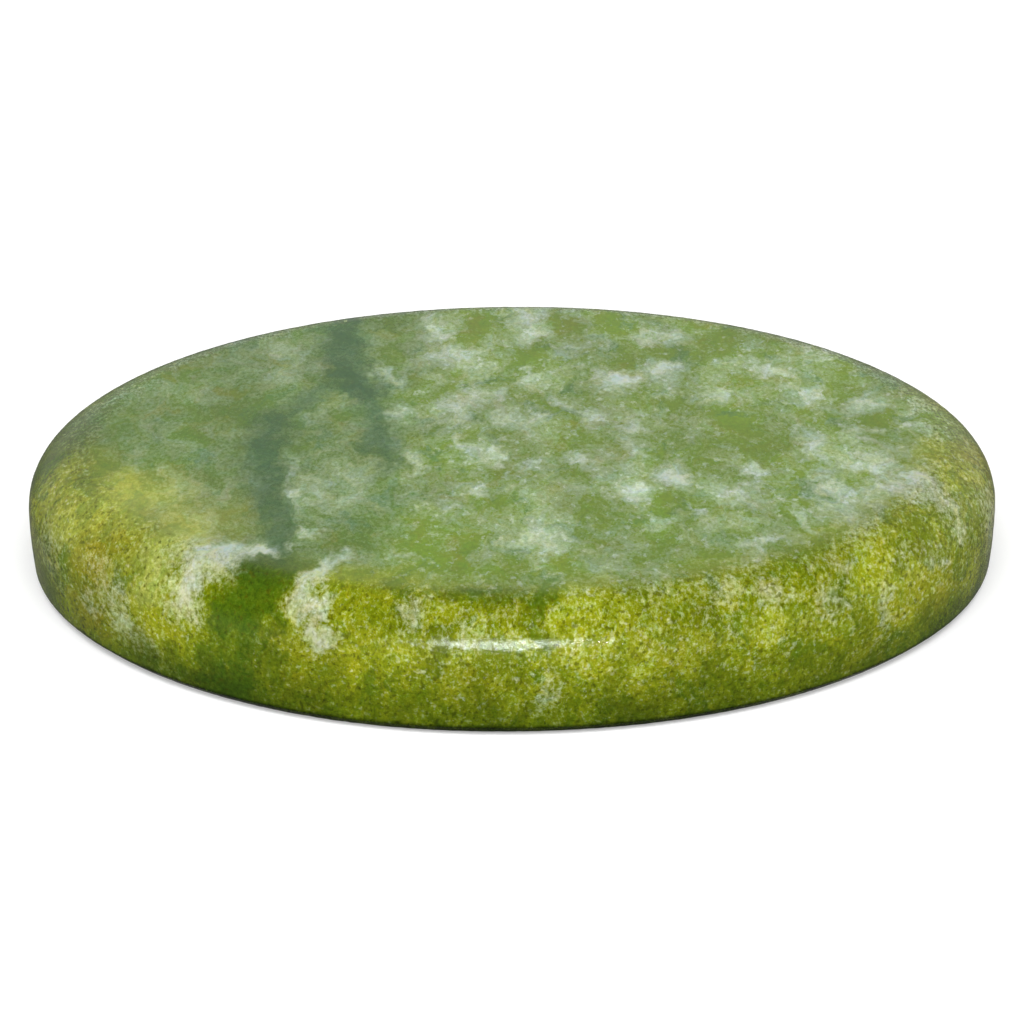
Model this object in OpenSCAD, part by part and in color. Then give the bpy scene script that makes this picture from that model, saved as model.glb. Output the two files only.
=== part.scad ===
// Polished stone disc: one solid piece of green natural stone, cut from a slab and ground
// round. The top is flat and polished, the upper edge is a broad oval rounding, the side
// leans in a little towards the underside, and the foot ends in a small crisp bevel.
// Millimetres, +Z up. The origin is the centre of the flat underside.

/* [Disc] */
// Diameter at the widest level of the side
disc_d = 50; // [40:1:60]
// Height of the polished top above the underside
disc_h = 6; // [5.6:0.1:6.4]
// Height of the side's widest level above the underside
belly_h = 3.25; // [3:0.05:3.5]

/* [Upper rounding] */
// How far the rounding reaches inwards, from the widest level to the flat top
round_in = 3.65; // [3.5:0.05:4.5]

/* [Side and foot] */
// How far the side draws in from its widest level down to the bevel
side_in = 0.18; // [0.05:0.01:0.4]
// Width of the bevel round the underside
bevel_w = 0.5; // [0.3:0.05:0.8]
// Height of the bevel round the underside
bevel_h = 0.4; // [0.3:0.05:0.6]

/* [Hidden] */

$fn = 180;
stone_green = [0.53, 0.60, 0.35];

disc_r = disc_d / 2;
round_h = disc_h - belly_h;
arris_r = disc_r - side_in;
foot_r = arris_r - bevel_w;

// The rounding is an oval of two arcs: a tight one that stands upright at the widest level,
// and a wide one that runs level into the flat top. They share a tangent where their common
// radius points 3 outwards for 4 upwards, which makes both radii plain sums.
outwards = [1, 0];
upwards = [0, 1];
to_join = [3, 4] / 5;
wide_r = 2 * round_in - round_h;
tight_r = 1.5 * round_h - 0.5 * round_in;
wide_centre = [disc_r - round_in, disc_h - wide_r];
tight_centre = [disc_r - tight_r, belly_h];

// Slice of a circle between two directions less than a right angle apart
module sector(centre, r, from, to) {
    reach = 2 * r;
    intersection() {
        translate(centre) circle(r = r);
        polygon([centre, centre + reach * from, centre + reach * to]);
    }
}

// Half section of the disc, from the axis out to the rim
module half_section() {
    square([disc_r - round_in, disc_h]);
    sector(wide_centre, wide_r, to_join, upwards);
    sector(tight_centre, tight_r, outwards, to_join);
    polygon([
        [0, 0],
        [foot_r, 0],
        [arris_r, bevel_h],
        [disc_r, belly_h],
        [0, belly_h]
    ]);
}

// The whole disc, one turned section
module stone_disc() {
    color(stone_green) rotate_extrude() half_section();
}

stone_disc();
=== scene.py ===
"""A polished disc of green natural stone, photographed in a soft studio."""
import math

import bpy
from mathutils import Euler, Matrix, Quaternion, Vector, noise


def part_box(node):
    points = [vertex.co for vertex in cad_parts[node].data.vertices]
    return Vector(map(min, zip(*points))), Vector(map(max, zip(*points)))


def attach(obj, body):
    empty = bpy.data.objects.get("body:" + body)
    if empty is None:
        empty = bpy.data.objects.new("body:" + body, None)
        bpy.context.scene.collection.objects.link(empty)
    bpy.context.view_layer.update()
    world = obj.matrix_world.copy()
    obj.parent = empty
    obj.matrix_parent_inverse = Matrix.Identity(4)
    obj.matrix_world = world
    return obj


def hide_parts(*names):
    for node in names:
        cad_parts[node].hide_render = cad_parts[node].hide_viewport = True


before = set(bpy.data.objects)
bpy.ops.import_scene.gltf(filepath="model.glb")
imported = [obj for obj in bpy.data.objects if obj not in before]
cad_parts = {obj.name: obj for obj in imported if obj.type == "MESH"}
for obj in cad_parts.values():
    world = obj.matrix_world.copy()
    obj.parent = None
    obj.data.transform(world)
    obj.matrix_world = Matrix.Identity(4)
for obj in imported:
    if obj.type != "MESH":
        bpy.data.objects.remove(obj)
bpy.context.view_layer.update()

MM = 0.001

# ------------------------------------------------------------------ sizes, in metres
NODE = "stone_disc"
low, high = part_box(NODE)
DISC_R = (high.x - low.x) / 2
DISC_H = high.z - low.z
BELLY_H = 3.25 * MM
ROUND_IN = 3.65 * MM
SIDE_IN = 0.18 * MM
BEVEL_W = 0.5 * MM
BEVEL_H = 0.4 * MM
EDGE_R = 0.07 * MM

# The rounding is a quarter of an oval: a wide arc from the flat top, then a tight one to the side.
FLAT_R = DISC_R - ROUND_IN
ROUND_H = DISC_H - BELLY_H
WIDE_R = 2 * ROUND_IN - ROUND_H
TIGHT_R = 1.5 * ROUND_H - 0.5 * ROUND_IN
JOIN_ANGLE = math.atan2(4, 3)
ARRIS_R = DISC_R - SIDE_IN
FOOT_R = ARRIS_R - BEVEL_W

# How fine the mesh is: along the section, and around the rim.
RIM_STEP = 0.18 * MM
TOP_STEP = 0.4 * MM
UNDER_STEP = 1.5 * MM
RIM_SEGMENTS = 1024
FEWEST_SEGMENTS = 16

# What hand grinding leaves: a slow wobble of the outline, and pits from the rounding outwards.
WOBBLE = 0.035 * MM
WOBBLE_BENDS = 1.6
WOBBLE_TALL = 9 * MM
PIT_SIZE = 0.45 * MM
PIT_DEPTH = 0.012 * MM
PITS_START = FLAT_R - 0.5 * MM
PITS_FULL = FLAT_R + 1.5 * MM


# ------------------------------------------------------------------ the stone's shape
def arc(centre, radius, start, end, step):
    """Points along an arc in the section, without its first point."""
    count = max(2, round(abs(end - start) * radius / step))
    angles = [start + (end - start) * i / count for i in range(1, count + 1)]
    return [(centre[0] + radius * math.cos(a), centre[1] + radius * math.sin(a)) for a in angles]


def line(start, end, step):
    """Points along a straight stretch of the section, without its first point."""
    count = max(1, round(math.dist(start, end) / step))
    return [tuple(s + (e - s) * i / count for s, e in zip(start, end)) for i in range(1, count + 1)]


def towards(corner, other):
    """The point a small edge radius away from a corner, towards another point."""
    share = EDGE_R / math.dist(corner, other)
    return tuple(c + (o - c) * share for c, o in zip(corner, other))


def eased_corner(before, corner, after):
    """A corner of the section as a small round edge."""
    start, end = towards(corner, before), towards(corner, after)
    points = []
    for t in (0.0, 0.25, 0.5, 0.75, 1.0):
        weights = ((1 - t) ** 2, 2 * t * (1 - t), t * t)
        points.append(tuple(sum(w * p[i] for w, p in zip(weights, (start, corner, end))) for i in (0, 1)))
    return points


def side_point(share):
    """A point of the barrelled side, from its widest level (0) to the bevel (1)."""
    return DISC_R - SIDE_IN * share ** 2, BELLY_H - (BELLY_H - BEVEL_H) * share


def rim_section():
    """The section from the edge of the flat top, over the rounding, down to the underside."""
    points = [(FLAT_R, DISC_H)]
    points += arc((FLAT_R, DISC_H - WIDE_R), WIDE_R, math.pi / 2, JOIN_ANGLE, RIM_STEP)
    points += arc((DISC_R - TIGHT_R, BELLY_H), TIGHT_R, JOIN_ANGLE, 0, RIM_STEP)
    steps = round((BELLY_H - BEVEL_H) / RIM_STEP)
    points += [side_point(i / steps) for i in range(1, steps)]
    arris, foot = (ARRIS_R, BEVEL_H), (FOOT_R, 0.0)
    points += eased_corner(side_point(0.95), arris, foot)
    points += line(points[-1], towards(foot, arris), RIM_STEP)[:-1]
    points += eased_corner(arris, foot, (0.0, 0.0))
    return points


def face_radii(outer, step):
    """Ring radii of a flat face, from the outside in, without the outer ring."""
    count = round(outer / step)
    return [outer * (count - i) / count for i in range(1, count)]


def segments_at(radius):
    """Vertices in a ring: halved each time the ring's radius halves."""
    halvings = max(0, int(math.floor(math.log2(DISC_R * 0.7 / radius)) + 1))
    return max(FEWEST_SEGMENTS, RIM_SEGMENTS >> halvings)


def smooth_share(value, start, end):
    """From 0 at the start to 1 at the end, without a kink."""
    t = min(1.0, max(0.0, (value - start) / (end - start)))
    return t * t * (3 - 2 * t)


def ground_offset(place, radius):
    """How far hand grinding leaves the surface from the true section, outwards."""
    angle = math.atan2(place.y, place.x)
    around = Vector((math.cos(angle), math.sin(angle), 0))
    slow = noise.noise(around * WOBBLE_BENDS + Vector((3.1, 7.7, place.z / WOBBLE_TALL))) * WOBBLE
    pits = noise.noise(place / PIT_SIZE) + 0.6 * noise.noise(place / PIT_SIZE * 2.1)
    return smooth_share(radius, PITS_START, PITS_FULL) * (slow + pits * PIT_DEPTH)


def section_normal(rings, index):
    """The way out of the stone at one ring, as (outwards, upwards)."""
    radius, height = rings[index]
    if height <= 0 and radius <= FOOT_R * 0.999:
        return 0, -1
    before, after = rings[max(0, index - 1)], rings[min(len(rings) - 1, index + 1)]
    along = Vector((after[0] - before[0], after[1] - before[1])).normalized()
    return -along.y, along.x


def ring_places(radius, height, normal):
    """The vertices of one ring. Those that rest on the table stay on the true section."""
    count = segments_at(radius)
    places = []
    for k in range(count):
        a = 2 * math.pi * k / count
        place = Vector((radius * math.cos(a), radius * math.sin(a), height))
        if height > 0:
            push = Vector((normal[0] * math.cos(a), normal[0] * math.sin(a), normal[1]))
            place += push * ground_offset(place, radius)
        place.z = max(0.0, place.z)
        places.append(place)
    return places


def stitch(first, n, second, m):
    """Faces between two rings that have as many vertices, or one twice the other's."""
    if n == m:
        return [(first + k, second + k, second + (k + 1) % n, first + (k + 1) % n) for k in range(n)]
    fans = []
    if m == 2 * n:
        for k in range(n):
            a, b = first + k, first + (k + 1) % n
            c, d, e = second + 2 * k, second + 2 * k + 1, second + (2 * k + 2) % m
            fans += [(a, c, d), (a, d, b), (b, d, e)]
        return fans
    for k in range(m):
        a, b = second + k, second + (k + 1) % m
        c, d, e = first + 2 * k, first + 2 * k + 1, first + (2 * k + 2) % n
        fans += [(a, d, c), (a, b, d), (b, e, d)]
    return fans


def build_stone():
    """The stone as rings, from the middle of the top over the rim to the middle below."""
    rim = rim_section()
    rings = [(r, DISC_H) for r in reversed(face_radii(FLAT_R, TOP_STEP))] + rim
    rings += [(r, 0.0) for r in face_radii(rim[-1][0], UNDER_STEP)]
    vertices, faces, starts = [Vector((0, 0, DISC_H))], [], []
    for i, (radius, height) in enumerate(rings):
        places = ring_places(radius, height, section_normal(rings, i))
        starts.append((len(vertices), len(places)))
        vertices += places
    for (first, n), (second, m) in zip(starts, starts[1:]):
        faces += stitch(first, n, second, m)
    first, n = starts[0]
    faces += [(0, first + k, first + (k + 1) % n) for k in range(n)]
    last, n = starts[-1]
    vertices.append(Vector((0, 0, 0)))
    faces += [(len(vertices) - 1, last + (k + 1) % n, last + k) for k in range(n)]
    mesh = bpy.data.meshes.new("polished_stone")
    mesh.from_pydata(vertices, [], faces)
    mesh.shade_smooth()
    mesh.validate()
    stone = bpy.data.objects.new("polished_stone", mesh)
    bpy.context.scene.collection.objects.link(stone)
    return stone


# ------------------------------------------------------------------ short calls for nodes
class Nodes:
    """Short calls for building one node tree."""

    def __init__(self, tree):
        self.tree = tree
        tree.nodes.clear()

    def add(self, kind, inputs=None, **settings):
        """A new node, with its settings, and its inputs set or linked."""
        node = self.tree.nodes.new(kind)
        for name, value in settings.items():
            setattr(node, name, value)
        for name, value in (inputs or {}).items():
            self.set(node.inputs[name], value)
        return node

    def set(self, socket, value):
        """Link an output to an input, or give the input a value."""
        if isinstance(value, bpy.types.NodeSocket):
            self.tree.links.new(value, socket)
        elif hasattr(value, "__len__") and socket.type == "RGBA" and len(value) == 3:
            socket.default_value = (*value, 1.0)
        else:
            socket.default_value = value

    def output(self, kind, result, inlet):
        """The node that the tree ends in."""
        self.tree.links.new(result, self.add(kind).inputs[inlet])

    def math(self, operation, a, b=0.0, clamp=False):
        return self.add("ShaderNodeMath", {0: a, 1: b}, operation=operation, use_clamp=clamp).outputs[0]

    def plus(self, a, b):
        return self.math("ADD", a, b)

    def times(self, a, b):
        return self.math("MULTIPLY", a, b)

    def beside(self, share):
        """What a share leaves of 1, and 0 where it is above 1."""
        return self.math("SUBTRACT", 1.0, share, clamp=True)

    def swing(self, value, width):
        """A noise value as a swing about zero."""
        return self.times(self.math("SUBTRACT", value, 0.5), width)

    def vector(self, operation, a, b=(0, 0, 0)):
        node = self.add("ShaderNodeVectorMath", {0: a, 1: b}, operation=operation)
        return node.outputs["Value" if operation in ("LENGTH", "DISTANCE", "DOT_PRODUCT") else "Vector"]

    def scaled(self, vector, factor):
        return self.add("ShaderNodeVectorMath", {0: vector, "Scale": factor}, operation="SCALE").outputs[0]

    def noise(self, vector, size, detail=2.0, rough=0.5, colour=False):
        """Noise with features of a size in the vector's own units."""
        node = self.add("ShaderNodeTexNoise", {
            "Vector": vector, "Scale": 1.0 / size, "Detail": detail, "Roughness": rough})
        return node.outputs["Color" if colour else "Fac"]

    def range(self, value, start, end, low=0.0, high=1.0, smooth=True):
        """A value between start and end, carried over to low and high."""
        node = self.add("ShaderNodeMapRange", {
            "Value": value, "From Min": start, "From Max": end, "To Min": low, "To Max": high},
            interpolation_type="SMOOTHSTEP" if smooth else "LINEAR")
        return node.outputs["Result"]

    def between(self, share, low, high):
        """From low where a share is 0 to high where it is 1."""
        return self.range(share, 0, 1, low, high)

    def curve(self, value, points):
        """A smooth curve through points, all between 0 and 1."""
        node = self.add("ShaderNodeFloatCurve", {"Value": value})
        course = node.mapping.curves[0]
        points = sorted(points)
        while len(course.points) < len(points):
            course.points.new(0.5, 0.5)
        for knot, spot in zip(course.points, points):
            knot.location = spot
        node.mapping.update()
        return node.outputs[0]

    def mix(self, share, a, b, blend="MIX"):
        """Colour a, with a share of colour b over it."""
        node = self.add("ShaderNodeMix", data_type="RGBA", blend_type=blend)
        self.set(node.inputs[0], share)
        self.set(node.inputs[6], a)
        self.set(node.inputs[7], b)
        return node.outputs[2]


# ------------------------------------------------------------------ the stone's material
LEFT_GREEN = (0.085, 0.160, 0.008)
RIGHT_GREEN = (0.122, 0.205, 0.006)
OLIVE = (0.150, 0.185, 0.004)
TEAL = (0.060, 0.150, 0.035)
VEIN_GREEN = (0.032, 0.095, 0.026)
CLOUD_WHITE = (0.455, 0.540, 0.420)
RIM_OLIVE = (0.127, 0.166, 0.002)
RIM_YELLOW = (0.248, 0.281, 0.006)
RIM_GREEN = (0.085, 0.138, 0.003)
PALE_YELLOW = (0.340, 0.390, 0.075)
RIM_WHITE = (0.390, 0.430, 0.290)
GRAIN_WHITE = (0.420, 0.450, 0.200)
RIM_AMBER = (0.218, 0.195, 0.003)
PATCH_GREEN = (0.050, 0.095, 0.002)
GRAIN_DARK = (0.070, 0.082, 0.002)

# Bends of the pattern: the noise's size, and how far it pushes along x, y and z (millimetres).
SLOW_BEND = (5.0, (4.0, 4.0, 4.0))
QUICK_BEND = (1.2, (2.2, 4.0, 2.2))
FINE_BEND = (0.35, (0.8, 1.6, 0.8))

# The pattern is drawn out from front to back, and its streaks are turned a little as well.
GRAIN_STRETCH = (1.0, 0.5, 1.0)
STREAK_STRETCH = (1.0, 0.46, 0.8)
STREAK_TURN = math.radians(-8)

# Noises of the pattern: size (millimetres), detail, roughness.
DRIFT = (3.5, 2, 0.5)
CLOUDY = (1.6, 6, 0.70)
TINT = (2.0, 3, 0.6)
GRAIN = (0.20, 3, 0.75)
CRYSTALS = (0.22, 1, 0.5)
HUE = (0.7, 4, 0.7)
FLECKS = (0.42, 3, 0.6)

# Ramps: over a stretch of a noise, or of the height, a share goes from one value to another.
OLIVE_BY_TINT = (0.52, 0.70, 0.0, 0.6)
TEAL_BY_TINT = (0.46, 0.30, 0.0, 0.7)
GREEN_BY_TINT = (0.47, 0.33, 0.0, 0.8)
AMBER_BY_TINT = (0.30, 0.55, 0.2, 1.0)
YELLOW_BY_CLOUD = (0.38, 0.62, 0.0, 1.0)
PALE_YELLOW_BY_CLOUD = (0.30, 0.60, 0.6, 1.0)
WHITE_BY_CLOUD = (0.30, 0.65, 0.55, 1.25)
VEIN_BY_CLOUD = (0.35, 0.65, 0.95, 0.7)
PATCH_BY_CLOUD = (0.35, 0.65, 1.0, 0.75)
GRAINS_BY_CLOUD = (0.38, 0.66, 0.1, 1.0)
CALM_BY_CLOUD = (0.2, 1.0, 1.0, 0.4)
PALE_FLECKS = (0.58, 0.68, 0.0, 0.32)
DARK_FLECKS = (0.40, 0.30, 0.0, 0.20)
PALE_GRAINS = (0.60, 0.76, 0.0, 0.95)
DARK_GRAINS = (0.43, 0.28, 0.0, 0.7)
TONE_BY_DRIFT = (0.35, 0.65, 0.88, 1.12)
RIM_WHITE_BY_HEIGHT = (0.5, 4.5, -0.34, -0.19)

# The most that each kind of spot covers, and the strength of the rim's clouds.
OLIVE_CAP = 0.9
YELLOW_CAP = 0.9
AMBER_CAP = 0.8
PATCH_CAP = 0.92
RIM_CLOUD_SHARE = 0.75

# At the left of the stone, and at the right.
WHITE_LEVEL = (0.10, 0.17)
WISP_SWING = (1.0, 1.6)
FLECK_SHARE = (0.2, 1.0)
# On the top, and on the rim.
WISP_SHARE = (1.0, 0.4)
CLOUD_COLUMNS = (0.5, 0.1)
HOLLOW_COLUMNS = (0.22, 0.0)
# On the top, and on the rounding and the side.
WHITE_GRAIN = (0.5, 1.8)
GRAIN_CONTRAST = (0.9, 2.0)

DARKEST_TONE = 0.2
HUE_SWING = (0.6, 0.0, 1.4)
MIDDLE = (0.5, 0.5, 0.5)

# Where the colours of the left give way to those of the right, going right (millimetres).
LEFT_TO_RIGHT = (-7.0, -3.0)
# Where the rim's colours set in, going outwards at the front. At the back they set in further out.
RIM_ZONE = (18.6, 23.2)
BACK_TO_FRONT = (6.0, -6.0)
BACK_FURTHER_OUT = 3.0
# Where the rounding's grains set in, going outwards.
ROUNDING_ZONE = (20.4, 22.8)
# How far noise moves the first two borders about, and then the rounding's.
BORDER_WANDER = 6.0
ROUNDING_WANDER = 3.0

# Painted shade, darker towards the foot: the colour is multiplied by the first of these at the foot, and on
# the bevel by the second as well.
SIDE_SHADE = (0.42, 0.50, 0.35)
BEVEL_SHADE = (0.27, 0.30, 0.18)
# The heights over which they fade out (millimetres).
SIDE_SHADE_FADE = (0.2, 3.2)
BEVEL_SHADE_FADE = (0.38, 0.62)

# A spot is gone at this many times its reach, and an arm of the vein fades below this half-width.
SPOT_END = 1.5
THIN_ARM = 0.6

STONE_IOR = 1.39
TOP_ROUGHNESS = (0.07, 0.12)
RIM_ROUGHNESS = (0.06, 0.16)
ROUGHNESS_GRAIN = (0.35, 0.65)
TOP_BUMP = 0.05
RIM_BUMP = 0.9
BUMP_DEPTH = 0.030 * MM

# Pale clouds that go down through the stone, seen from above with the front at -y:
# x, y, reach along x, reach along y (millimetres), lean (degrees), strength.
CLOUDS = [
    # between and beside the arms of the dark vein
    (-9.0, -7.5, 2.0, 4.5, 0, 0.45), (-8.0, 3.0, 1.2, 4.0, 0, 0.15), (-11.2, -4.5, 0.3, 2.2, 0, 0.9),
    (-10.7, -9.5, 0.35, 2.4, 10, 0.8), (-12.5, 12.5, 1.9, 3.8, 0, 0.45), (-7.0, 11.5, 0.5, 4.0, 12, 0.55),
    (-6.0, 3.0, 0.45, 2.0, 0, 0.7), (-5.0, -3.3, 0.5, 1.8, 10, 0.5), (-5.2, -8.5, 0.6, 1.6, 0, 0.6),
    (-4.5, -6.0, 1.5, 3.5, 0, 0.2),
    # back
    (-4.3, 17.5, 0.8, 4.5, 0, 0.9), (-3.2, 12.8, 2.0, 1.8, 0, 1.0), (1.1, 18.8, 1.2, 3.2, 0, 1.1),
    (0.9, 22.5, 1.5, 2.0, 0, 0.8), (3.4, 14.1, 1.0, 1.9, -25, 0.7), (5.7, 15.4, 0.9, 1.2, 0, 0.7),
    (8.4, 16.2, 1.7, 1.6, 0, 1.0), (17.3, 13.8, 1.6, 1.8, 40, 0.5),
    # middle
    (8.2, 11.0, 1.0, 1.2, 0, 1.2), (5.4, 8.9, 1.1, 1.7, 0, 1.3), (6.6, 8.2, 0.7, 1.9, -20, 0.8),
    (7.2, 9.8, 1.2, 1.0, -40, 0.6), (1.0, 9.3, 0.4, 1.6, 0, 0.6), (-1.8, 7.0, 1.2, 1.8, 0, 0.8),
    (-2.6, 4.6, 1.2, 2.2, 0, 0.8), (-3.6, 1.5, 1.2, 2.4, 0, 0.5), (0.3, 3.1, 1.3, 1.5, 0, 1.3),
    (0.9, 1.0, 0.6, 1.6, 10, 0.6), (2.8, 5.0, 0.9, 1.2, 0, 0.5), (4.4, 3.0, 0.9, 1.5, 15, 0.9),
    (6.2, 1.0, 0.8, 1.6, 10, 0.7), (14.1, 9.9, 1.5, 1.1, 0, 1.2), (12.7, 12.0, 1.0, 1.2, 0, 0.5),
    (11.0, 6.6, 1.2, 1.3, 0, 0.7), (9.0, 8.2, 1.8, 2.4, 0, 0.25), (15.8, 6.6, 1.4, 1.7, 0, 0.6),
    (19.0, 5.3, 1.1, 2.0, 0, 0.8), (20.8, 0.8, 1.1, 1.2, 0, 0.8), (14.7, 1.0, 0.5, 0.9, -30, 0.9),
    (18.0, 0.2, 1.1, 1.6, 0, 0.8), (15.4, -2.0, 0.9, 2.4, 0, 0.7), (17.2, -3.2, 1.4, 1.6, 0, 0.7),
    # middle to front
    (-2.7, -0.9, 0.45, 1.7, 12, 0.8), (-0.8, -2.7, 0.45, 1.4, 12, 1.1), (0.9, -4.8, 0.8, 1.4, 0, 0.6),
    (3.2, -3.4, 0.6, 1.2, 18, 1.1), (6.5, -2.3, 0.5, 1.4, 12, 0.8), (5.2, -4.6, 1.5, 1.8, 0, 0.3),
    (8.1, -6.1, 1.1, 2.1, 8, 1.3), (5.7, -8.4, 1.1, 1.4, 0, 0.9), (2.7, -8.2, 1.5, 1.4, 0, 0.45),
    (-1.4, -8.4, 0.8, 0.8, 0, 0.8), (-2.7, -10.3, 0.7, 0.6, 0, 0.6), (10.9, -8.5, 1.2, 1.9, 15, 1.2),
    (9.2, -11.3, 0.5, 1.1, 5, 1.0), (7.1, -13.4, 0.9, 0.9, 0, 0.6), (1.3, -14.8, 1.5, 1.7, 10, 0.9),
    (2.9, -15.2, 0.7, 0.8, 0, 0.7), (4.9, -18.4, 0.8, 1.0, 0, 0.6), (12.3, -5.0, 0.6, 1.2, 5, 0.9),
    (12.1, -15.3, 1.3, 0.8, 25, 1.1), (11.8, -18.6, 0.7, 1.9, 0, 0.7), (14.5, -12.7, 0.35, 3.4, 16, 1.0),
    # right
    (18.2, -5.0, 1.5, 1.6, 0, 1.2), (20.0, -6.8, 1.9, 1.9, 30, 1.2), (18.8, -8.3, 2.0, 1.2, 0, 0.9),
    (15.9, -7.6, 0.7, 2.4, 22, 0.9), (16.5, -12.0, 1.5, 2.5, 10, 0.9), (17.6, -10.0, 2.0, 1.8, 0, 0.3),
]

# Greener hollows between the clouds, in the same way.
HOLLOWS = [
    (5.4, 18.8, 1.5, 2.2, 0, 1.0), (2.9, 18.8, 1.0, 1.8, 0, 0.8), (-1.9, 19.0, 1.3, 3.4, 0, 1.2),
    (1.4, 14.6, 0.8, 3.0, -22, 0.9), (9.2, 13.3, 2.0, 1.4, 0, 0.8), (11.4, 16.2, 1.6, 2.4, 0, 0.9),
    (13.2, 13.5, 2.4, 1.2, 0, 1.0), (5.6, 12.1, 1.4, 1.2, 0, 0.7), (17.7, 9.0, 0.7, 3.4, 0, 0.9),
    (8.2, 4.9, 1.8, 1.3, 0, 0.9), (11.5, 3.0, 1.7, 2.7, 0, 1.1), (18.3, 2.2, 2.4, 1.3, 0, 0.9),
    (14.0, 2.6, 0.9, 1.6, 0, 0.6), (3.4, 0.4, 1.3, 1.7, 0, 0.6), (-4.7, 5.5, 0.9, 1.9, 0, 0.8),
    (-3.5, -3.0, 0.9, 2.1, 0, 1.0), (10.0, -3.2, 1.4, 2.6, 0, 0.9), (12.9, -2.2, 1.8, 2.6, 0, 0.7),
    (3.1, -5.6, 0.6, 1.8, 25, 0.6), (9.5, -8.3, 0.8, 1.6, 0, 0.8), (7.9, -10.2, 1.4, 1.3, 0, 0.8),
    (4.9, -12.4, 1.8, 1.6, 0, 1.0), (-1.3, -10.6, 1.3, 1.8, 0, 0.8), (13.3, -10.5, 1.1, 3.0, 10, 0.7),
    (-3.0, -14.5, 2.6, 3.2, 0, 0.95), (8.0, -17.3, 2.8, 2.0, 0, 0.7), (-3.5, -18.6, 3.0, 1.8, 0, 0.9),
    (0.5, -19.0, 2.4, 1.5, 0, 0.6), (14.6, -14.2, 0.8, 2.2, 10, 0.7), (-14.0, 4.0, 2.6, 4.0, 0, 0.5),
]

# Pale spots on the rounding and the side: azimuth from the front (degrees, right is positive), radius,
# height, reach around, inwards and down (millimetres), tilt (degrees), strength.
RIM_CLOUDS = [
    (-40.5, 22.0, 5.8, 2.2, 2.7, 1.8, 0, 1.3), (-39.5, 24.2, 4.7, 1.2, 1.2, 1.5, 0, 1.1),
    (-48.5, 24.7, 2.4, 3.6, 1.5, 1.4, 30, 0.75), (-26.0, 21.6, 5.9, 0.7, 2.8, 1.5, 0, 1.3),
    (-23.0, 23.6, 5.2, 1.1, 1.2, 1.2, -30, 1.3), (-21.0, 24.5, 4.4, 1.2, 1.0, 0.8, -20, 1.0),
    (-11.5, 23.3, 5.4, 1.0, 1.0, 1.2, 0, 0.8), (22.0, 23.9, 5.1, 0.9, 0.6, 0.7, 0, 0.5),
    (30.5, 23.8, 5.2, 1.2, 1.0, 1.0, 0, 0.6), (38.0, 24.7, 4.3, 1.0, 0.6, 0.5, 0, 0.8),
    (42.0, 23.6, 5.3, 0.8, 0.8, 0.8, 0, 0.5), (53.0, 23.8, 5.1, 1.3, 0.8, 0.7, 0, 0.5),
    (67.0, 22.8, 5.6, 1.6, 1.4, 1.0, 0, 0.9), (64.5, 24.6, 4.5, 1.0, 0.8, 0.9, 0, 0.9),
    (3.5, 24.9, 2.1, 0.9, 0.8, 1.2, 0, 0.7), (27.0, 24.9, 2.3, 0.9, 0.8, 0.6, 0, 0.7),
    (45.5, 24.9, 3.0, 0.6, 0.8, 1.4, 0, 0.8), (32.0, 23.6, 3.0, 0.5, 0.8, 1.5, 0, 0.2),
    (-68.0, 24.9, 3.0, 3.0, 1.2, 1.6, 0, 0.45), (77.0, 24.8, 3.3, 2.8, 1.0, 1.8, 0, 0.6),
    (-57.0, 24.9, 2.4, 1.4, 0.8, 0.8, 0, 0.6), (72.0, 21.9, 6.0, 0.9, 1.4, 1.0, 0, 0.9),
    (38.5, 24.2, 4.6, 0.8, 0.8, 0.8, 0, 0.7), (57.0, 24.6, 4.1, 1.0, 0.9, 0.9, 0, 0.6),
    (25.0, 23.0, 5.5, 1.2, 1.0, 1.0, 0, 0.4), (-6.0, 24.2, 4.8, 1.5, 0.8, 0.5, 0, 0.4),
    (-37.0, 16.8, 6.0, 0.9, 0.5, 1.0, 0, 0.9),
]

# Small white wisps at the front end of the vein's left arm, in the way of CLOUDS.
WISPS = [
    (-12.2, -16.2, 0.9, 0.7, -35, 1.6), (-10.4, -15.6, 0.7, 0.5, 30, 1.3), (-11.2, -16.6, 0.5, 0.4, 0, 1.0),
]

# Where the rim's olive reaches inwards or shows strongest, in the way of RIM_CLOUDS.
RIM_OLIVES = [
    (-64.0, 21.5, 5.0, 4.4, 5.0, 6, 0, 1.0), (-50.0, 22.0, 5.0, 3.0, 4.0, 5, 0, 1.0),
    (-74.0, 23.5, 4.0, 3.0, 3.5, 6, 0, 0.7),
    (60.0, 22.5, 4.5, 4.0, 3.2, 5, 0, 0.6), (78.0, 22.0, 4.5, 3.0, 2.5, 5, 0, 0.5),
]

# Amber spots of the rim, and pale yellow ones at its left.
AMBERS = [
    (-57.0, 23.8, 4.0, 2.6, 2.2, 2.6, 0, 1.0), (-56.0, 24.8, 1.8, 2.0, 1.5, 1.4, 0, 0.7),
    (86.0, 24.0, 4.0, 3.0, 1.6, 3.0, 0, 0.5), (57.0, 24.9, 2.4, 3.0, 1.5, 1.4, 0, 0.4),
]
YELLOWS = [
    (-48.0, 22.0, 5.6, 1.7, 2.4, 1.8, 0, 1.0), (-45.5, 23.8, 4.6, 1.0, 1.6, 1.2, 0, 0.8),
    (-63.0, 21.2, 5.6, 4.8, 3.8, 3.0, 0, 0.5), (-51.0, 18.5, 6.0, 2.4, 2.4, 2.0, 0, 0.35),
]

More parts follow.
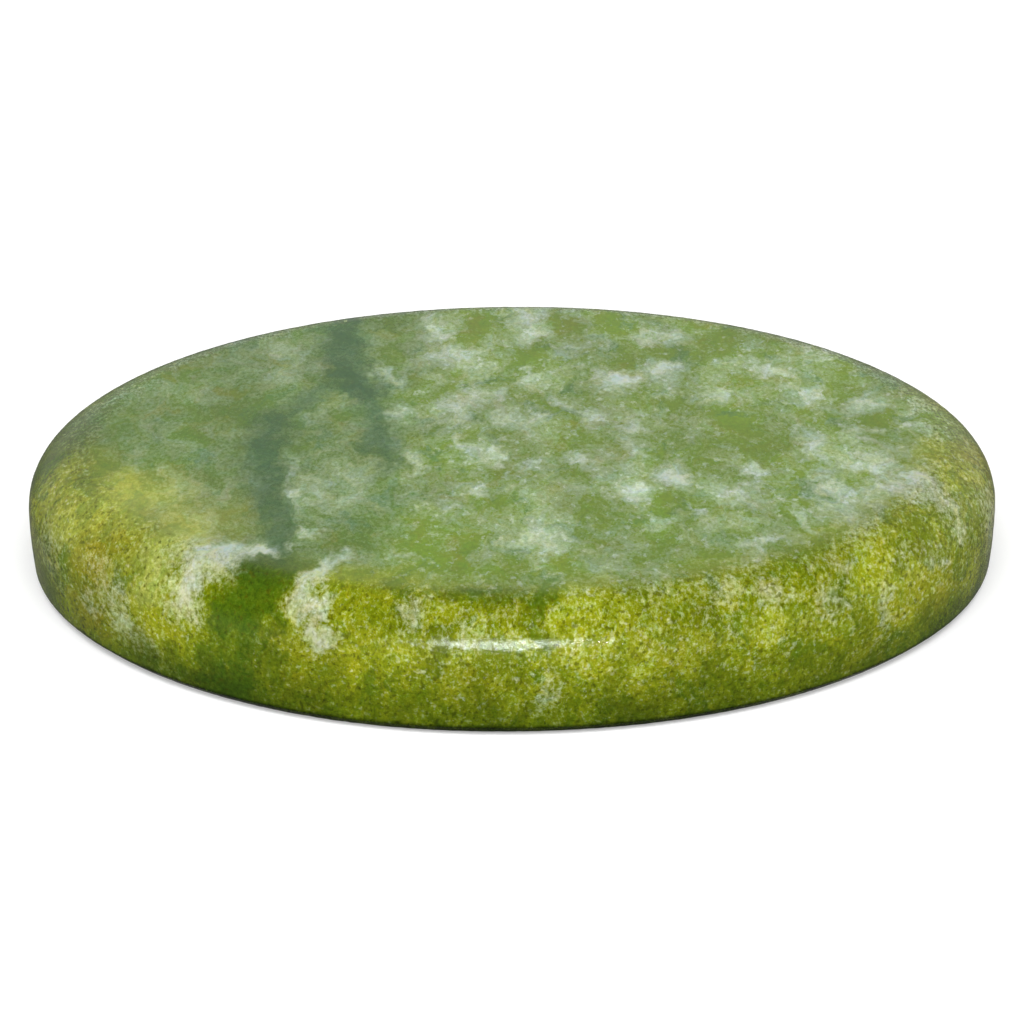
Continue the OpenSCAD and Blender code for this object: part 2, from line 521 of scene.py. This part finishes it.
# Dark green patches of the rounding, and darker stretches of the side.
PATCHES = [
    (-31.5, 22.6, 5.5, 2.1, 3.2, 2.0, 0, 1.5), (-30.5, 24.6, 3.6, 2.4, 1.6, 2.0, 0, 1.1),
    (-32.0, 24.8, 1.0, 2.6, 1.6, 1.6, 0, 1.1), (-8.0, 21.9, 6.0, 2.6, 0.8, 0.6, 0, 0.7),
    (1.0, 22.1, 6.0, 2.2, 0.6, 0.6, 0, 0.6), (-87.0, 24.0, 4.5, 3.4, 1.8, 3.0, 0, 0.9),
    (-2.5, 24.9, 1.2, 0.9, 0.8, 1.3, 0, 0.5), (10.5, 24.9, 2.0, 1.1, 0.8, 1.6, 0, 0.4),
    (21.0, 24.9, 2.0, 1.2, 0.8, 1.6, 0, 0.5), (34.5, 24.9, 1.8, 1.0, 0.8, 1.6, 0, 0.5),
    (57.0, 24.9, 1.4, 2.4, 0.8, 1.3, 0, 0.5), (-70.0, 24.9, 1.6, 2.2, 0.8, 1.8, 0, 0.5),
    (-14.0, 24.9, 1.4, 1.2, 0.8, 1.0, 0, 0.4), (-94.0, 22.4, 5.7, 4.0, 2.4, 3.0, 0, 0.6),
    (-43.0, 24.9, 0.8, 3.0, 1.0, 1.1, 0, 0.8), (-23.0, 24.9, 1.2, 1.6, 0.8, 1.2, 0, 0.5),
]
# The dark vein enters at the back and forks: (y, x, half-width) along each arm.
RIGHT_ARM = [
    (25, -9.6, 1.2), (18, -9.4, 1.1), (12, -8.9, 1.3), (8, -8.3, 1.3),
    (4, -7.2, 1.0), (0, -6.9, 0.9), (-3, -6.3, 0.6), (-5, -5.9, 0.3), (-6.5, -5.8, 0.0)]
LEFT_ARM = [
    (10, -9.4, 0.0), (7, -10.4, 0.7), (3, -12.3, 0.9), (-1, -12.8, 1.2), (-5, -12.4, 1.1),
    (-8, -12.1, 0.9), (-11, -11.6, 0.8), (-14, -11.3, 0.7), (-17, -11.4, 0.8), (-19, -12.0, 0.7),
    (-21, -12.6, 0.0)]
RIGHT_ARM_SOFTNESS = 0.9
LEFT_ARM_SOFTNESS = 1.2


def arm_share(n, place, points, softness):
    """How much a place lies in one arm of the vein, which runs from the back to the front.

    A curve holds values from 0 to 1, so places and half-widths are carried over to it and back.
    """
    half = DISC_R / MM
    split = n.add("ShaderNodeSeparateXYZ", {0: place})
    along = n.range(split.outputs["Y"], -half, half, smooth=False)
    centre = n.curve(along, [((y + half) / (2 * half), (x + half) / (2 * half)) for y, x, _ in points])
    width = n.curve(along, [((y + half) / (2 * half), w / 2) for y, _, w in points])
    centre = n.range(centre, 0, 1, -half, half, smooth=False)
    off = n.math("ABSOLUTE", n.math("SUBTRACT", split.outputs["X"], centre))
    width = n.times(width, 2.0)
    inside = n.range(n.math("SUBTRACT", off, width), -softness, softness, 1.0, 0.0)
    return n.times(inside, n.range(width, 0.0, THIN_ARM))


def spot_share(n, place, centre, axes, reach, strength):
    """The strength of one soft spot, from its centre, its unit axes and its reach along each."""
    axes = [axis / r for axis, r in zip(axes, reach)]
    parts = [n.vector("DOT_PRODUCT", place, axis) for axis in axes]
    local = n.add("ShaderNodeCombineXYZ", dict(enumerate(parts))).outputs[0]
    home = [centre.dot(axis) for axis in axes] + [0.0] * (3 - len(axes))
    return n.range(n.vector("DISTANCE", local, home), 0.0, SPOT_END, strength, 0.0)


def column_share(n, place, columns):
    """The summed strength of spots that go straight down through the stone."""
    total = 0.0
    for x, y, across, along, lean, strength in columns:
        turn = Matrix.Rotation(math.radians(lean), 3, "Z").transposed()
        share = spot_share(n, place, Vector((x, y, 0)), turn[:2], (across, along), strength)
        total = n.plus(total, share)
    return total


def rim_share(n, place, spots):
    """The summed strength of spots on the rounding and the side."""
    total = 0.0
    for azimuth, radius, height, around, inwards, down, tilt, strength in spots:
        a = math.radians(azimuth)
        centre = Vector((radius * math.sin(a), -radius * math.cos(a), height))
        turn = Euler((0, math.radians(tilt), a)).to_matrix().transposed()
        share = spot_share(n, place, centre, turn[:3], (around, inwards, down), strength)
        total = n.plus(total, share)
    return total


def bend(n, place, size, push):
    """How far a noise pushes each place of the pattern."""
    centred = n.vector("SUBTRACT", n.noise(place, size, colour=True), MIDDLE)
    return n.vector("MULTIPLY", centred, push)


class Fields:
    """The places, noises and zones of the stone that every layer of its colour is made from."""

    def __init__(self, n):
        straight = n.scaled(n.add("ShaderNodeTexCoord").outputs["Object"], 1 / MM)
        split = n.add("ShaderNodeSeparateXYZ", {0: straight})
        x, y, self.height = split.outputs["X"], split.outputs["Y"], split.outputs["Z"]
        radius = n.vector("LENGTH", n.add("ShaderNodeCombineXYZ", {0: x, 1: y}).outputs[0])

        # near is a place with its quick and fine bends, and flow has the slow ones as well
        grained = n.vector("MULTIPLY", straight, GRAIN_STRETCH)
        slow = bend(n, straight, *SLOW_BEND)
        quick = bend(n, grained, *QUICK_BEND)
        fine = bend(n, grained, *FINE_BEND)
        self.near = n.vector("ADD", n.vector("ADD", straight, quick), fine)
        flow = n.vector("ADD", self.near, slow)
        streaked = n.add("ShaderNodeMapping", {
            "Vector": flow, "Rotation": (0, 0, STREAK_TURN), "Scale": STREAK_STRETCH}).outputs[0]

        # what is added to a place only keeps one noise from following another
        self.drift = n.noise(streaked, *DRIFT)
        self.cloudy = n.noise(streaked, *CLOUDY)
        self.tint = n.noise(n.vector("ADD", streaked, (31, 17, 5)), *TINT)
        self.grain = n.noise(grained, *GRAIN)
        self.crystals = n.noise(n.vector("ADD", grained, (7, 3, 9)), *CRYSTALS)
        self.hue = n.noise(n.vector("ADD", streaked, (3, 11, 23)), *HUE, colour=True)
        self.flecks = n.noise(n.vector("ADD", grained, (19, 5, 1)), *FLECKS)

        wander = n.swing(self.drift, BORDER_WANDER)
        self.right = n.range(n.plus(x, wander), *LEFT_TO_RIGHT)
        moved_in = n.between(n.range(y, *BACK_TO_FRONT), -BACK_FURTHER_OUT, 0.0)
        self.rim = n.range(n.plus(radius, n.plus(wander, moved_in)), *RIM_ZONE)
        self.rounding = n.range(n.plus(radius, n.swing(self.cloudy, ROUNDING_WANDER)), *ROUNDING_ZONE)


def body_colour(n, f):
    """Greens on the top, and olive and yellow on the rim with its paler and browner spots."""
    top = n.mix(f.right, LEFT_GREEN, RIGHT_GREEN)
    top = n.mix(n.range(f.tint, *OLIVE_BY_TINT), top, OLIVE)
    top = n.mix(n.range(f.tint, *TEAL_BY_TINT), top, TEAL)
    rim = n.mix(n.range(f.cloudy, *YELLOW_BY_CLOUD), RIM_OLIVE, RIM_YELLOW)
    rim = n.mix(n.range(f.tint, *GREEN_BY_TINT), rim, RIM_GREEN)
    body = n.mix(f.rim, top, rim)
    body = n.mix(n.math("MINIMUM", rim_share(n, f.near, RIM_OLIVES), OLIVE_CAP), body, rim)
    yellow = n.times(rim_share(n, f.near, YELLOWS), n.range(f.cloudy, *PALE_YELLOW_BY_CLOUD))
    body = n.mix(n.math("MINIMUM", yellow, YELLOW_CAP), body, PALE_YELLOW)
    amber = n.times(rim_share(n, f.near, AMBERS), n.range(f.tint, *AMBER_BY_TINT))
    return n.mix(n.math("MINIMUM", amber, AMBER_CAP), body, RIM_AMBER)


def cloud_share(n, f):
    """The clouds that were placed one by one."""
    columns = n.times(column_share(n, f.near, CLOUDS + WISPS), n.between(f.rim, *CLOUD_COLUMNS))
    return n.plus(columns, n.times(rim_share(n, f.near, RIM_CLOUDS), RIM_CLOUD_SHARE))


def whiteness(n, f, clouds):
    """How white the stone is: fractal wisps all over, then clouds, hollows, flecks and grain."""
    level = n.between(f.right, *WHITE_LEVEL)
    strength = n.times(n.between(f.right, *WISP_SWING), n.between(f.rim, *WISP_SHARE))
    white = n.plus(level, n.swing(f.cloudy, strength))
    white = n.plus(white, n.times(clouds, n.range(f.cloudy, *WHITE_BY_CLOUD)))
    hollows = n.times(column_share(n, f.near, HOLLOWS), n.between(f.rim, *HOLLOW_COLUMNS))
    white = n.math("SUBTRACT", white, hollows)
    white = n.plus(white, n.times(f.rim, n.range(f.height, *RIM_WHITE_BY_HEIGHT)))
    flecks = n.math("SUBTRACT", n.range(f.flecks, *PALE_FLECKS), n.range(f.flecks, *DARK_FLECKS))
    white = n.plus(white, n.times(flecks, n.between(f.right, *FLECK_SHARE)))
    grain = n.swing(f.grain, n.between(f.rounding, *WHITE_GRAIN))
    return n.math("ADD", white, grain, clamp=True)


def vein_share(n, f, clouds):
    """The forked dark vein, which the clouds cover."""
    right_arm = arm_share(n, f.near, RIGHT_ARM, RIGHT_ARM_SOFTNESS)
    left_arm = arm_share(n, f.near, LEFT_ARM, LEFT_ARM_SOFTNESS)
    vein = n.times(n.math("MAXIMUM", right_arm, left_arm), n.range(f.cloudy, *VEIN_BY_CLOUD))
    return n.times(vein, n.beside(clouds))


def patch_share(n, f, clouds):
    """The dark patches of the rim, which the clouds cover."""
    patch = n.times(rim_share(n, f.near, PATCHES), n.range(f.cloudy, *PATCH_BY_CLOUD))
    return n.times(patch, n.beside(clouds))


def grained_colour(n, f, colour, clouds, patch):
    """The crystal grains, strong on the rounding and the side, and calmer within the clouds."""
    pale = n.times(n.range(f.crystals, *PALE_GRAINS), f.rounding)
    pale = n.times(pale, n.range(f.cloudy, *GRAINS_BY_CLOUD))
    colour = n.mix(n.times(pale, n.beside(patch)), colour, GRAIN_WHITE)
    calm = n.range(clouds, *CALM_BY_CLOUD)
    dark = n.times(n.range(f.crystals, *DARK_GRAINS), f.rounding)
    colour = n.mix(n.times(dark, calm), colour, GRAIN_DARK)
    contrast = n.times(n.between(f.rounding, *GRAIN_CONTRAST), calm)
    tone = n.math("MAXIMUM", n.plus(1.0, n.swing(f.grain, contrast)), DARKEST_TONE)
    tone = n.times(tone, n.range(f.drift, *TONE_BY_DRIFT))
    return n.scaled(colour, tone)


def varied_hue(n, f, colour):
    """Small shifts of hue, by noise in red and in blue."""
    swing = n.vector("MULTIPLY", n.vector("SUBTRACT", f.hue, MIDDLE), HUE_SWING)
    return n.vector("MULTIPLY", colour, n.vector("ADD", swing, (1, 1, 1)))


def painted_foot_shade(n, f, colour):
    """Painted shade: darker and greener towards the foot, and darkest on the bevel."""
    for fade, tone in ((SIDE_SHADE_FADE, SIDE_SHADE), (BEVEL_SHADE_FADE, BEVEL_SHADE)):
        painted_shade = n.mix(n.range(f.height, *fade), tone, (1, 1, 1))
        colour = n.mix(1.0, colour, painted_shade, blend="MULTIPLY")
    return colour


def stone_surface(n, f, colour):
    """The polish: smooth on the top, and pitted by the grain on the rounding and the side."""
    shader = n.add("ShaderNodeBsdfPrincipled", {"IOR": STONE_IOR, "Base Color": colour})
    smoothest, roughest = (n.between(f.rounding, *pair) for pair in zip(TOP_ROUGHNESS, RIM_ROUGHNESS))
    n.set(shader.inputs["Roughness"], n.range(f.grain, *ROUGHNESS_GRAIN, smoothest, roughest))
    bump = n.add("ShaderNodeBump", {
        "Height": f.grain, "Strength": n.between(f.rounding, TOP_BUMP, RIM_BUMP), "Distance": BUMP_DEPTH})
    n.set(shader.inputs["Normal"], bump.outputs[0])
    n.output("ShaderNodeOutputMaterial", shader.outputs[0], "Surface")


def stone_material():
    """Green natural stone, whose pattern fills the whole body in millimetres from its centre."""
    material = bpy.data.materials.new("green_stone")
    material.use_nodes = True
    n = Nodes(material.node_tree)
    f = Fields(n)
    body = body_colour(n, f)
    clouds = cloud_share(n, f)
    colour = n.mix(whiteness(n, f, clouds), body, n.mix(f.rim, CLOUD_WHITE, RIM_WHITE))
    colour = n.mix(vein_share(n, f, clouds), colour, VEIN_GREEN)
    patch = patch_share(n, f, clouds)
    colour = n.mix(n.math("MINIMUM", patch, PATCH_CAP), colour, PATCH_GREEN)
    colour = grained_colour(n, f, colour, clouds, patch)
    colour = varied_hue(n, f, colour)
    # painted shade: darker and greener towards the foot, darkest on the bevel
    colour = painted_foot_shade(n, f, colour)
    stone_surface(n, f, colour)
    return material


# ------------------------------------------------------------------ the studio
CAMERA_DISTANCE = 8.53 * DISC_R
CAMERA_ELEVATION = math.radians(21.1)
CAMERA_ROLL = math.radians(-0.4)
AIM_HEIGHT = 1.83 * MM
LENS = 143.2
SENSOR_WIDTH = 36
NEAREST_SEEN = 0.01
FURTHEST_SEEN = 20

FLOOR_HALF = 1.5
FLOOR_GREY = (0.65, 0.65, 0.65)
FLOOR_ROUGHNESS = 0.9
FLOOR_GLOW = 0.38

# Azimuth and elevation (degrees), then distance, width and height (metres), and watts.
SOFTBOX = (0, 64, 1.5, 2.2, 1.2, 41.2)
STRIP = (-2, 43, 0.5, 0.14, 0.012, 2.0)
STRIP_COLOUR = (0.9, 1, 1)

# The cards are at full strength up to CARD_FULL and gone at CARD_END, as heights of a unit direction.
CARD_FULL = 0.34
CARD_END = 0.70
CARD_LEVEL = 0.40
CEILING_LEVEL = 0.04
# Below the table's level they drop to a share, which fades out for steep looks down.
BELOW_SHARE = 0.3
HORIZON = (-0.04, 0.0)
BELOW_FADE = (-0.75, -0.45)


def build_camera():
    """The photo's view: from the front, looking down."""
    data = bpy.data.cameras.new("camera")
    data.lens = LENS
    data.sensor_width = SENSOR_WIDTH
    data.clip_start, data.clip_end = NEAREST_SEEN, FURTHEST_SEEN
    camera = bpy.data.objects.new("camera", data)
    camera.location = Vector((0, -math.cos(CAMERA_ELEVATION), math.sin(CAMERA_ELEVATION))) * CAMERA_DISTANCE
    looking = (Vector((0, 0, AIM_HEIGHT)) - camera.location).to_track_quat("-Z", "Y")
    camera.rotation_mode = "QUATERNION"
    camera.rotation_quaternion = looking @ Quaternion((0, 0, 1), CAMERA_ROLL)
    bpy.context.scene.collection.objects.link(camera)
    bpy.context.scene.camera = camera


def build_floor():
    """Pale paper, lit a little from itself, that isn't seen in reflections."""
    corners = [(x * FLOOR_HALF, y * FLOOR_HALF, 0) for x, y in ((-1, -1), (1, -1), (1, 1), (-1, 1))]
    mesh = bpy.data.meshes.new("studio_floor")
    mesh.from_pydata(corners, [], [(0, 1, 2, 3)])
    floor = bpy.data.objects.new("studio_floor", mesh)
    material = bpy.data.materials.new("pale_paper")
    material.use_nodes = True
    n = Nodes(material.node_tree)
    shader = n.add("ShaderNodeBsdfPrincipled", {
        "Base Color": FLOOR_GREY, "Roughness": FLOOR_ROUGHNESS,
        "Emission Color": (1, 1, 1), "Emission Strength": FLOOR_GLOW})
    n.output("ShaderNodeOutputMaterial", shader.outputs[0], "Surface")
    mesh.materials.append(material)
    floor.visible_glossy = False
    bpy.context.scene.collection.objects.link(floor)


def add_light(name, azimuth, elevation, distance, width, height, watts, colour=(1, 1, 1)):
    """An area light that faces the stone. Azimuth 0 is the camera's side, positive to the right."""
    data = bpy.data.lights.new(name, "AREA")
    data.shape = "RECTANGLE"
    data.size, data.size_y = width, height
    data.energy = watts
    data.color = colour
    lamp = bpy.data.objects.new(name, data)
    a, e = math.radians(azimuth), math.radians(elevation)
    lamp.location = Vector((math.sin(a) * math.cos(e), -math.cos(a) * math.cos(e), math.sin(e))) * distance
    lamp.rotation_mode = "QUATERNION"
    lamp.rotation_quaternion = (-lamp.location).to_track_quat("-Z", "Y")
    bpy.context.scene.collection.objects.link(lamp)
    return lamp


def build_world():
    """Grey cards all round the table, which fade out upwards into a dark ceiling."""
    world = bpy.data.worlds.new("studio")
    bpy.context.scene.world = world
    world.use_nodes = True
    n = Nodes(world.node_tree)
    direction = n.add("ShaderNodeTexCoord").outputs["Generated"]
    up = n.add("ShaderNodeSeparateXYZ", {0: direction}).outputs["Z"]
    card = n.range(up, CARD_FULL, CARD_END, 1.0, 0.0, smooth=False)
    below = n.range(up, *BELOW_FADE, 0.0, BELOW_SHARE)
    card = n.times(card, n.range(up, *HORIZON, below, 1.0))
    level = n.range(card, 0, 1, CEILING_LEVEL, CARD_LEVEL, smooth=False)
    grey = n.add("ShaderNodeCombineColor", {0: level, 1: level, 2: level}).outputs[0]
    background = n.add("ShaderNodeBackground", {"Color": grey, "Strength": 1.0})
    n.output("ShaderNodeOutputWorld", background.outputs[0], "Surface")


# ------------------------------------------------------------------ the scene
stone = build_stone()
stone.data.materials.append(stone_material())
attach(stone, "root")
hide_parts(NODE)

build_floor()
build_world()
softbox = add_light("front_softbox", *SOFTBOX)
softbox.visible_glossy = False
strip = add_light("strip", *STRIP, colour=STRIP_COLOUR)
strip.visible_diffuse = False
build_camera()
bpy.context.scene.view_settings.view_transform = "Standard"
